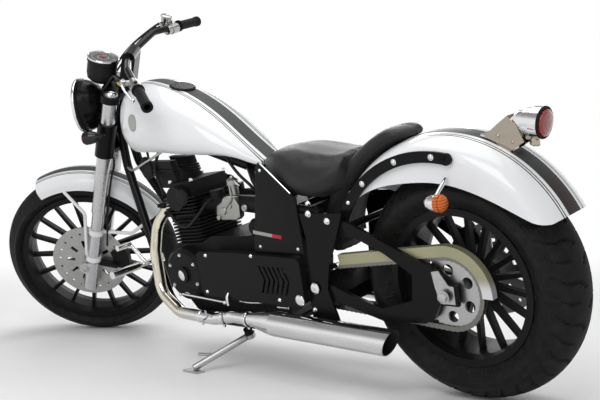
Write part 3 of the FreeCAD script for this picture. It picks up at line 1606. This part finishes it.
# Fork, in the frame whose Z axis is the steering axis

def yoke_plate(name, shares, low, thick):
    """Plate across the fork from shares of its depth and half width."""
    places = [point(size.yoke_depth * ahead, size.yoke_half_width * across, low) for ahead, across in shares]
    face = Part.Face(Part.makePolygon(places + [places[0]]))
    return shaped(name, face.extrude(point(0, 0, thick)))


yoke_shares = [
    (-0.26, -0.10), (-0.26, 0.10), (0.187, 0.768), (0.60, 0.70), (0.92, 0.30), (0.92, -0.30), (0.60, -0.70),
    (0.187, -0.768)]


def fork_yokes():
    """Lower and top yokes with their leg clamps, on the steering stem."""
    low = size.lower_yoke_up
    top = size.top_yoke_up + size.top_yoke_plate
    pieces = [
        yoke_plate("lower_yoke", yoke_shares, low, size.yoke_plate),
        yoke_plate("top_yoke", yoke_shares, size.top_yoke_up, size.top_yoke_plate),
        rod("steering_stem", point(0, 0, low), point(0, 0, top), size.stem_radius)]
    bores = []
    for side in (1, -1):
        y = side * size.fork_spread
        clamp = size.tube_radius + size.clamp_wall
        pieces.append(rod("lower_clamp", point(size.fork_offset, y, size.lower_yoke_up),
                          point(size.fork_offset, y, size.lower_yoke_top), clamp))
        pieces.append(rod("top_clamp", point(size.fork_offset, y, size.top_yoke_up),
                          point(size.fork_offset, y, top), clamp))
        bores.append(rod("leg_bore", point(size.fork_offset, y, size.lower_yoke_up - size.overrun),
                         point(size.fork_offset, y, top + size.overrun), size.tube_radius + size.seat_gap))
    return cut("fork_yokes", fuse("yokes_fused", pieces), fuse("leg_bores", bores))


def fork_leg(side):
    """Upper tube, slider and axle casting; the left leg carries the front axle."""
    name = "fork_left" if side > 0 else "fork_right"
    x = size.fork_offset
    y = side * size.fork_spread
    top = size.top_yoke_up + size.top_yoke_plate + 0.1 * size.top_yoke_plate
    boss = 0.88 * size.tube_radius
    inner = side * (size.fork_spread - size.tube_radius)
    outer = side * (size.fork_spread + size.tube_radius)
    pieces = [
        rod("upper_tube", point(x, y, size.collar_up), point(x, y, top), size.tube_radius),
        rod("slider", point(x, y, size.fork_low), point(x, y, size.collar_up), size.slider_radius),
        rod("casting", point(x, y, size.fork_low), point(x, y, size.casting_top), size.casting_radius),
        rod("axle_boss", point(fork_axle.x, inner, fork_axle.z), point(fork_axle.x, outer, fork_axle.z), boss)]
    if side > 0:
        end = size.fork_spread + size.tube_radius + size.overrun / 4
        pieces.append(rod("front_axle", point(fork_axle.x, -end, fork_axle.z),
                          point(fork_axle.x, end, fork_axle.z), size.axle_radius))
        return fuse(name, pieces)
    bore = rod("axle_bore", point(fork_axle.x, outer - size.overrun, fork_axle.z),
               point(fork_axle.x, inner + size.overrun, fork_axle.z), size.axle_radius + size.seat_gap)
    return cut(name, fuse(name + "_fused", pieces), bore)


def front_fender():
    """Front fender with its clamps and stays, in the fork frame."""
    shell = fender_shell(
        size.front_fender_radius, size.front_fender_half_width, size.front_fender_crown,
        size.front_fender_depth, size.fender_sheet,
        float(size.front_fender_start_angle - size.rake_angle),
        float(size.front_fender_end_angle - size.rake_angle))
    shell.translate(fork_axle)
    pieces = [shaped("front_shell", shell)]
    tools = []
    for side in (1, -1):
        for shares in (front_stay_shares, rear_stay_shares):
            route = placed(shares, size.fork_offset, size.front_fender_half_width, size.casting_top,
                           size.stay_length, size.stay_length)
            pieces.append(shaped("fender_stay", bent_tube(
                sided(route, side), size.stay_radius, 4 * size.stay_radius)))
        y = side * size.fork_spread
        for share in clamp_shares:
            base = size.casting_top + share * size.stay_length
            pieces.append(rod("stay_clamp", point(size.fork_offset, y, base),
                              point(size.fork_offset, y, base + 3 * size.stay_radius),
                              size.slider_radius + size.stay_radius))
        tools.append(rod("slider_room", point(size.fork_offset, y, size.casting_top),
                         point(size.fork_offset, y, size.casting_top + size.stay_length),
                         size.slider_radius + size.seat_gap))
    return cut("front_fender", fuse("front_fender_fused", pieces), fuse("slider_rooms", tools))


front_stay_shares = [(0.112, 1.25, 0.06), (0.20, 1.25, 0.72), (0.54, 1.04, 0.97)]
rear_stay_shares = [(-0.09, 1.25, 0.49), (-0.50, 1.22, 0.55), (-0.70, 1.04, 0.78)]
clamp_shares = [0.02, 0.46]


def caliper(name, wheel, offset, disc_radius, angle):
    """Brake caliper block open over its disc, turned about the wheel's Y axis."""
    half = float(size.caliper_half_width)
    inner = disc_radius - size.caliper_height
    outer = disc_radius + size.running_gap + 0.5 * size.caliper_half_width
    spread = math.degrees(size.caliper_length / disc_radius) / 2
    room = 0.5 * size.disc_thick + size.running_gap
    solid = sector(wheel, inner, outer, angle - spread, angle + spread, offset - half, offset + half)
    slot = sector(wheel, inner - size.overrun, disc_radius + size.running_gap, angle - 2 * spread,
                  angle + 2 * spread, offset - float(room), offset + float(room))
    return shaped(name, solid.cut(slot))


def rear_caliper():
    return caliper("rear_caliper", point(0, 0, rear_radius), -float(size.rear_disc_offset),
                   size.rear_disc_radius, float(size.rear_caliper_angle))


def front_caliper():
    """Front caliper with the lug that reaches the left leg, in the fork frame."""
    angle = float(size.front_caliper_angle)
    block_shape = caliper("front_caliper_block", fork_axle, float(size.front_disc_offset),
                          size.front_disc_radius, angle)
    reach = fork_axle + around_y(float(size.front_disc_radius - 0.5 * size.caliper_height),
                                 math.radians(angle))
    near = size.front_disc_offset + 0.7 * size.caliper_half_width
    low = point(reach.x, near, size.casting_top - size.caliper_half_width)
    high = point(size.fork_offset - size.casting_radius - size.seat_gap,
                 near + 1.6 * size.caliper_half_width, size.casting_top - size.seat_gap)
    return fuse("front_caliper", [block_shape, block("caliper_lug", low, high)])


# Handlebar and its controls, in the fork frame

bar_shares = [(-0.98, 1.0, 0.58), (-0.21, 0.46, 0.92), (0.0, 0.115, 0.0)]


def bar_route():
    half = placed(bar_shares, size.bar_ahead, size.bar_half_width, size.bar_up, size.bar_sweep, size.bar_rise)
    return [point(x, -y, z) for x, y, z in half] + [point(x, y, z) for x, y, z in reversed(half)]


def grip_frame(side):
    """Place at the bar's end, with its X axis inboard along the grip and its Z axis upward."""
    route = bar_route()
    end, root = (route[-1], route[-2]) if side > 0 else (route[0], route[1])
    inboard = root - end
    inboard.normalize()
    across = upward.cross(inboard)
    across.normalize()
    return FreeCAD.Placement(end, FreeCAD.Rotation(inboard, across, inboard.cross(across), "XZY"))


def grip_rod(name, side, first, last, radius, ahead=0.0, up=0.0):
    """Rod along the grip, between two distances from the bar's end."""
    place = grip_frame(side)
    shift = -side * float(ahead)
    return rod(name, place.multVec(point(first, shift, up)), place.multVec(point(last, shift, up)), radius)


def handlebar():
    """Swept bar in its riser, with open ends."""
    bar = shaped("bar_tube", bent_tube(bar_route(), size.bar_radius, size.tube_bend))
    foot = size.top_yoke_up + size.top_yoke_plate + size.seat_gap
    half = 0.5 * size.riser_depth
    riser = block("riser", point(size.bar_ahead - half, -size.riser_half_width, foot),
                  point(size.bar_ahead + half, size.riser_half_width, size.bar_up))
    clamp = rod("bar_clamp", point(size.bar_ahead, -size.riser_half_width, size.bar_up),
                point(size.bar_ahead, size.riser_half_width, size.bar_up), 0.5 * size.riser_depth)
    solid = fuse("handlebar_fused", [bar, riser, clamp])
    bores = [grip_rod("bar_end_bore", side, -size.overrun, size.bar_bore_depth,
                      size.bar_radius - size.bar_wall) for side in (1, -1)]
    return cut("handlebar", solid, fuse("bar_end_bores", bores))


def sleeve(name, pieces, side, length):
    """Pieces round the bar, bored to seat on it."""
    bore = grip_rod(name + "_bore", side, -size.overrun, length, size.bar_radius + size.seat_gap)
    return cut(name, fuse(name + "_fused", pieces), bore)


def grip(side):
    name = "grip_left" if side > 0 else "grip_right"
    body = grip_rod(name + "_rubber", side, -0.02 * size.grip_length, size.grip_length, size.grip_radius)
    collar = grip_rod(name + "_collar", side, 0.94 * size.grip_length, size.grip_length,
                      1.25 * size.grip_radius)
    end = grip_rod(name + "_end", side, -0.02 * size.grip_length, 0.08 * size.grip_length,
                   1.12 * size.grip_radius)
    return sleeve(name, [body, collar, end], side, 2 * size.grip_length)


def hand_control(side):
    """Switch housing, lever perch with its mirror thread, and the lever ahead of the grip."""
    name = "hand_control_left" if side > 0 else "hand_control_right"
    start = size.grip_length + size.seat_gap
    middle = start + size.switch_length
    end = middle + 0.7 * size.switch_length
    reach = 2.1 * size.switch_radius
    pieces = [
        grip_rod(name + "_switch", side, start, middle, size.switch_radius),
        grip_rod(name + "_perch", side, middle, end, 0.85 * size.switch_radius)]
    place = grip_frame(side)

    def spot(along_bar, ahead, up):
        return place.multVec(point(along_bar, -side * float(ahead), up))

    pivot = spot(middle + 0.35 * size.switch_length, reach, 0)
    pieces.append(rod(name + "_arm", spot(middle + 0.35 * size.switch_length, 0, 0), pivot,
                      1.5 * size.lever_radius))
    knee = spot(start, 1.15 * reach, 0)
    tip = spot(middle - size.lever_length - size.switch_length / 2, 0.95 * reach, 0)
    pieces.append(shaped(name + "_lever", bent_tube([pivot, knee, tip], size.lever_radius, size.tube_bend / 3)))
    post = spot(middle + 0.35 * size.switch_length, 0.5 * reach, 0)
    top = spot(middle + 0.35 * size.switch_length, 0.5 * reach, size.switch_radius)
    pieces.append(rod(name + "_mirror_boss", post, top, 2 * size.perch_thread_radius))
    if side < 0:
        rear = start + 0.2 * size.switch_length
        raised = 0.95 * size.switch_radius
        pieces.append(rod(name + "_master", spot(rear, reach, raised),
                          spot(rear + size.master_length, reach, raised), size.master_radius))
    base = sleeve(name + "_body", pieces, side, 3 * size.grip_length)
    drill = rod(name + "_thread", spot(middle + 0.35 * size.switch_length, 0.5 * reach, 0),
                spot(middle + 0.35 * size.switch_length, 0.5 * reach, 3 * size.switch_radius),
                size.perch_thread_radius)
    return cut(name, base, drill)


# Foot controls and side stand

foot_shares = [(0.0, 0.0, 0.0), (0.02, 0.55, 0.03), (0.02, 1.0, 0.06)]


def foot_control(side):
    """Peg and pedal on a bracket that is clamped to the downtube."""
    name = "foot_control_left" if side > 0 else "foot_control_right"
    route = sided(placed(cradle_shares, size.frame_forward, size.rail_half_spread, size.rail_up,
                         size.frame_length, size.frame_height), side)
    top, foot = route[2], route[3]
    share = (size.foot_control_up - foot.z) / (top.z - foot.z)
    hub = foot + (top - foot) * float(share)
    run = top - foot
    run.normalize()
    half = float(size.peg_radius)
    clamp = rod(name + "_clamp", hub - run * half, hub + run * half, size.downtube_radius + 0.5 * size.peg_radius)
    outward = point(0, side, 0)
    knee = hub + outward * float(size.peg_length * 0.75)
    tip = knee + outward * float(size.peg_length)
    bracket = rod(name + "_bracket", hub, knee, size.control_radius)
    peg = rod(name + "_peg", knee, tip, size.peg_radius)
    pedal_root = hub + outward * float(size.peg_length * 0.45)
    rise = 1.1 if side > 0 else 1.3
    pedal = pedal_root + point(size.peg_length * 0.62, 0, size.peg_length * 0.5 * rise)
    lever = rod(name + "_lever", pedal_root, pedal, 0.8 * size.control_radius)
    toe = rod(name + "_toe", pedal, pedal + outward * float(size.peg_length * 0.5), 0.75 * size.peg_radius)
    solid = fuse(name + "_fused", [clamp, bracket, peg, lever, toe])
    room = rod(name + "_room", foot, top, size.downtube_radius + size.seat_gap)
    return cut(name, solid, room)


stand_pivot = point(size.stand_forward, size.stand_spread, size.stand_up)
stand_foot = lean_pose.inverse().multVec(
    point(size.foot_forward, size.foot_spread, size.foot_thick + 0.5 * size.stand_radius))
stand_run = stand_foot - stand_pivot
stand_axis = stand_run.cross(-forward)
stand_axis.normalize()
stand_range = math.degrees(stand_run.getAngle(-forward))


def stand_bracket():
    """Boss under the left rail with the pin that the side stand turns on."""
    half = 0.5 * size.stand_eye_height
    foot = stand_pivot + stand_axis * float(half + size.seat_gap)
    top = stand_pivot + stand_axis * float(half + size.rail_boss_height)
    boss = rod("stand_boss", foot, top, 0.8 * size.stand_eye_radius)
    pin_end = stand_pivot - stand_axis * float(half + size.stand_pin_radius / 2)
    return fuse("stand_bracket", [boss, rod("stand_pin", pin_end, top, size.stand_pin_radius)])


def side_stand():
    """Leg with its eye, a flat foot that lies on the floor, and a tang."""
    half = float(0.5 * size.stand_eye_height)
    eye = rod("stand_eye", stand_pivot - stand_axis * half, stand_pivot + stand_axis * half,
              size.stand_eye_radius)
    near = stand_run * (0.95 * float(size.stand_eye_radius) / stand_run.Length)
    leg = rod("stand_leg", stand_pivot + near, stand_foot, size.stand_radius)
    centre = lean_pose.multVec(stand_foot)
    low = point(centre.x - 0.5 * size.foot_length, centre.y - 0.5 * size.foot_width, 0)
    flat = block("stand_flat", low, low + point(size.foot_length, size.foot_width, size.foot_thick))
    flat.Placement = lean_pose.inverse().multiply(flat.Placement)
    root = stand_pivot + stand_run * 0.6
    tang = rod("stand_tang", root, root + point(size.foot_length, 0.5 * size.foot_width, 0),
               0.5 * size.stand_radius)
    solid = fuse("stand_fused", [eye, leg, flat, tang])
    over = float(size.overrun)
    bore = rod("stand_bore", stand_pivot - stand_axis * over, stand_pivot + stand_axis * over,
               size.stand_pin_radius + size.stand_pin_play)
    return cut("side_stand", solid, bore)


# Assembly: each sub-part in its own frame, then leaned onto the stand

upright = FreeCAD.Placement()
at_rear = FreeCAD.Placement(rear_axle, FreeCAD.Rotation())
at_front = steered.multiply(FreeCAD.Placement(front_axle, FreeCAD.Rotation()))
at_fork = steered.multiply(fork_place)
gauge_place = at_fork.multiply(FreeCAD.Placement(
    point(size.gauge_ahead, 0, size.top_yoke_up + size.top_yoke_plate + size.riser_gap), FreeCAD.Rotation()))


def sub_parts():
    """Every sub-part with the place of its own frame in the bike frame."""
    sides = (1, -1)
    yield frame_backbone(), upright
    for side in sides:
        yield frame_cradle(side), upright
    yield swingarm(), upright
    for maker in (crankcase, cylinder_block, cylinder_head, alternator_cover, clutch_cover, carburettors):
        yield maker(), engine_place
    yield lower_cover(1), upright
    for maker in (side_panel, header, fender_strut, rear_signal, foot_control):
        for side in sides:
            yield maker(side), upright
    for side in sides:
        yield muffler(side), muffler_place(side)
    for maker in (airbox, fuel_tank, rider_seat, pillion_pad, rear_fender, tail_lamp, drive_chain,
                  chain_guard, rear_caliper, side_stand):
        yield maker(), upright
    yield fuel_cap(), cap_place()
    yield tail_lens(), tail_place()
    yield wheel_rim("rear_rim", size.rear_rim_seat, size.rear_rim_half_width, size.rear_hub_radius,
                    size.rear_hub_half_width), at_rear
    yield tyre("rear_tyre", size.rear_rim_seat, size.rear_tyre_height, size.rear_tyre_half_width,
               size.rear_tyre_crown, size.rear_rim_half_width), at_rear
    yield rear_sprocket(), at_rear
    yield brake_disc("rear_disc", size.rear_disc_radius, size.rear_disc_offset,
                     size.rear_hub_half_width, -1), at_rear
    yield wheel_rim("front_rim", size.front_rim_seat, size.front_rim_half_width, size.front_hub_radius,
                    size.front_hub_half_width), at_front
    yield tyre("front_tyre", size.front_rim_seat, size.front_tyre_height, size.front_tyre_half_width,
               size.front_tyre_crown, size.front_rim_half_width), at_front
    yield brake_disc("front_disc", size.front_disc_radius, size.front_disc_offset,
                     size.front_hub_half_width, 1), at_front
    for maker in (fork_yokes, front_caliper, front_fender, headlight, handlebar):
        yield maker(), at_fork
    for maker in (fork_leg, front_signal, grip, hand_control):
        for side in sides:
            yield maker(side), at_fork
    yield instrument(), gauge_place


def assemble():
    """Make and place every sub-part, then set the posed bike over the middle of its own footprint."""
    made = []
    for sub_part, place in sub_parts():
        sub_part.Label = sub_part.Name
        made.append((sub_part, place))
    doc.recompute()
    box = FreeCAD.BoundBox()
    leaned = []
    for sub_part, place in made:
        if sub_part.Shape.isNull():
            raise RuntimeError("empty shape: " + sub_part.Name)
        leaned.append((sub_part, lean_pose.multiply(place).multiply(sub_part.Placement)))
    for sub_part, place in leaned:
        sub_part.Placement = place
        box.add(sub_part.Shape.optimalBoundingBox(False, False))
    middle = FreeCAD.Placement(point(-box.Center.x, -box.Center.y, -box.ZMin), FreeCAD.Rotation())
    for sub_part, place in leaned:
        sub_part.Placement = middle.multiply(place)
    doc.recompute()
    faults = [item.Name for item in doc.Objects if "Invalid" in item.State or "Error" in item.State]
    for sub_part, _ in made:
        shape = sub_part.Shape
        if shape.isNull() or not shape.isValid() or len(shape.Solids) != 1 or shape.Volume <= 0:
            faults.append(f"{sub_part.Name} solids {len(shape.Solids)} volume {shape.Volume:.0f}")
    if faults:
        raise RuntimeError("faults: " + ", ".join(faults))
    return middle, [sub_part for sub_part, _ in made]


def main():
    middle, made = assemble()
    os.makedirs("parts", exist_ok=True)
    for sub_part in made:
        sub_part.Shape.exportStep("parts/" + sub_part.Label + ".step")
    return middle, made


main()
